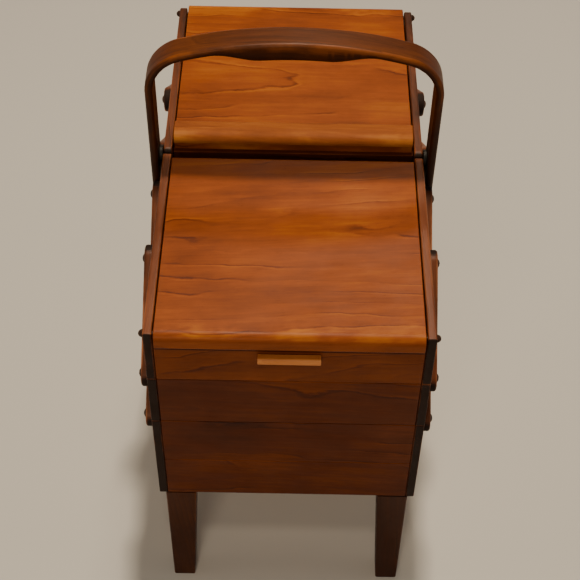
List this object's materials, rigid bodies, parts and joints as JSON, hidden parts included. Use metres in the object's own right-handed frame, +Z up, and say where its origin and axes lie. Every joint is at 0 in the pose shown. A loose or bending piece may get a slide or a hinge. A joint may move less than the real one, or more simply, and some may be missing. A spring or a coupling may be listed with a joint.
{
  "type": "cantilever sewing box",
  "caption": "Wooden cantilever sewing box on four tapered legs: stacked trays open outwards on leaning links, pinned lids on top, bentwood carrying handle over the middle.",
  "frame": {"origin": "on the floor, under the middle of the box", "axes": "+X across the box to the right, +Y along it away from the front end, +Z up"},
  "size_m": [0.274, 0.4756, 0.5425],
  "materials": {
    "lid_wood": "satin lacquer over red-brown stain, grain across the box",
    "side_wood": "satin lacquer over dark red-brown stain, grain along the box",
    "end_wood": "satin lacquer over dark red-brown stain, grain across the box",
    "link_wood": "satin lacquer, polished edges, grain along the link",
    "panel_wood": "plain unstained plywood",
    "handle_wood": "bent solid wood, dark stain, satin lacquer, worn on the grip",
    "leg_wood": "satin lacquer over dark stain, grain upright",
    "pin_metal": "dark bronzed steel, domed heads",
    "bumper_plastic": "black, matt"
  },
  "bodies": {
    "base": {"base_left_side": "side_wood", "base_right_side": "side_wood", "base_front_lower_board": "end_wood", "base_front_upper_board": "end_wood", "base_back_lower_board": "end_wood", "base_back_upper_board": "end_wood", "base_bottom": "panel_wood", "front_left_leg": "leg_wood", "front_right_leg": "leg_wood", "back_left_leg": "leg_wood", "back_right_leg": "leg_wood", "handle": "handle_wood", "left_handle_lower_screw": "pin_metal", "left_handle_upper_screw": "pin_metal", "left_handle_bumper": "bumper_plastic", "right_handle_lower_screw": "pin_metal", "right_handle_upper_screw": "pin_metal", "right_handle_bumper": "bumper_plastic"},
    "front_long_links": {"front_left_long_link": "link_wood", "front_right_long_link": "link_wood"},
    "front_lower_links": {"front_left_lower_link": "link_wood", "front_right_lower_link": "link_wood"},
    "front_upper_links": {"front_left_upper_link": "link_wood", "front_right_upper_link": "link_wood"},
    "front_lower_tray": {"front_lower_tray_left_side": "side_wood", "front_lower_tray_right_side": "side_wood", "front_lower_tray_outer_end": "end_wood", "front_lower_tray_inner_end": "end_wood", "front_lower_tray_bottom": "panel_wood"},
    "front_upper_tray": {"front_upper_tray_left_side": "side_wood", "front_upper_tray_right_side": "side_wood", "front_upper_tray_outer_end": "end_wood", "front_upper_tray_inner_end": "end_wood", "front_upper_tray_bottom": "panel_wood", "front_left_lid_pin": "pin_metal", "front_right_lid_pin": "pin_metal", "front_pull": "lid_wood"},
    "front_lid": {"front_lid": "lid_wood"},
    "back_long_links": {"back_left_long_link": "link_wood", "back_right_long_link": "link_wood"},
    "back_lower_links": {"back_left_lower_link": "link_wood", "back_right_lower_link": "link_wood"},
    "back_upper_links": {"back_left_upper_link": "link_wood", "back_right_upper_link": "link_wood"},
    "back_lower_tray": {"back_lower_tray_left_side": "side_wood", "back_lower_tray_right_side": "side_wood", "back_lower_tray_outer_end": "end_wood", "back_lower_tray_inner_end": "end_wood", "back_lower_tray_bottom": "panel_wood"},
    "back_upper_tray": {"back_upper_tray_left_side": "side_wood", "back_upper_tray_right_side": "side_wood", "back_upper_tray_outer_end": "end_wood", "back_upper_tray_inner_end": "end_wood", "back_upper_tray_bottom": "panel_wood", "back_left_lid_pin": "pin_metal", "back_right_lid_pin": "pin_metal", "back_pull": "lid_wood"},
    "back_lid": {"back_lid": "lid_wood", "back_lid_batten": "lid_wood"}
  },
  "joints": [
    {"name": "front_fold", "type": "hinge", "parent": "base", "child": "front_long_links", "pos_m": [0, -0.198, 0.248], "axis": [1, 0, 0], "range_deg": [0, 107.7]},
    {"name": "front_lower_tray_level", "type": "hinge", "parent": "front_long_links", "child": "front_lower_tray", "pos_m": [0, -0.113, 0.31], "axis": [1, 0, 0], "range_deg": [-107.7, 0]},
    {"name": "front_upper_tray_level", "type": "hinge", "parent": "front_long_links", "child": "front_upper_tray", "pos_m": [0, -0.028, 0.372], "axis": [1, 0, 0], "range_deg": [-107.7, 0]},
    {"name": "front_lower_links_swing", "type": "hinge", "parent": "base", "child": "front_lower_links", "pos_m": [0, -0.113, 0.248], "axis": [1, 0, 0], "range_deg": [0, 107.7]},
    {"name": "front_upper_links_swing", "type": "hinge", "parent": "front_lower_tray", "child": "front_upper_links", "pos_m": [0, -0.198, 0.31], "axis": [1, 0, 0], "range_deg": [0, 107.7]},
    {"name": "front_lid_hinge", "type": "hinge", "parent": "front_upper_tray", "child": "front_lid", "pos_m": [0, -0.2245, 0.3985], "axis": [1, 0, 0], "range_deg": [0, 175]},
    {"name": "back_fold", "type": "hinge", "parent": "base", "child": "back_long_links", "pos_m": [0, 0.198, 0.248], "axis": [-1, 0, 0], "range_deg": [0, 107.7]},
    {"name": "back_lower_tray_level", "type": "hinge", "parent": "back_long_links", "child": "back_lower_tray", "pos_m": [0, 0.113, 0.31], "axis": [-1, 0, 0], "range_deg": [-107.7, 0]},
    {"name": "back_upper_tray_level", "type": "hinge", "parent": "back_long_links", "child": "back_upper_tray", "pos_m": [0, 0.028, 0.372], "axis": [-1, 0, 0], "range_deg": [-107.7, 0]},
    {"name": "back_lower_links_swing", "type": "hinge", "parent": "base", "child": "back_lower_links", "pos_m": [0, 0.113, 0.248], "axis": [-1, 0, 0], "range_deg": [0, 107.7]},
    {"name": "back_upper_links_swing", "type": "hinge", "parent": "back_lower_tray", "child": "back_upper_links", "pos_m": [0, 0.198, 0.31], "axis": [-1, 0, 0], "range_deg": [0, 107.7]},
    {"name": "back_lid_hinge", "type": "hinge", "parent": "back_upper_tray", "child": "back_lid", "pos_m": [0, 0.2245, 0.3985], "axis": [-1, 0, 0], "range_deg": [0, 175]}
  ],
  "couplings": [
    {"joint": "front_lower_tray_level", "follows": "front_fold", "ratio": -1},
    {"joint": "front_upper_tray_level", "follows": "front_fold", "ratio": -1},
    {"joint": "front_lower_links_swing", "follows": "front_fold", "ratio": 1},
    {"joint": "front_upper_links_swing", "follows": "front_fold", "ratio": 1},
    {"joint": "back_lower_tray_level", "follows": "back_fold", "ratio": -1},
    {"joint": "back_upper_tray_level", "follows": "back_fold", "ratio": -1},
    {"joint": "back_lower_links_swing", "follows": "back_fold", "ratio": 1},
    {"joint": "back_upper_links_swing", "follows": "back_fold", "ratio": 1}
  ]
}
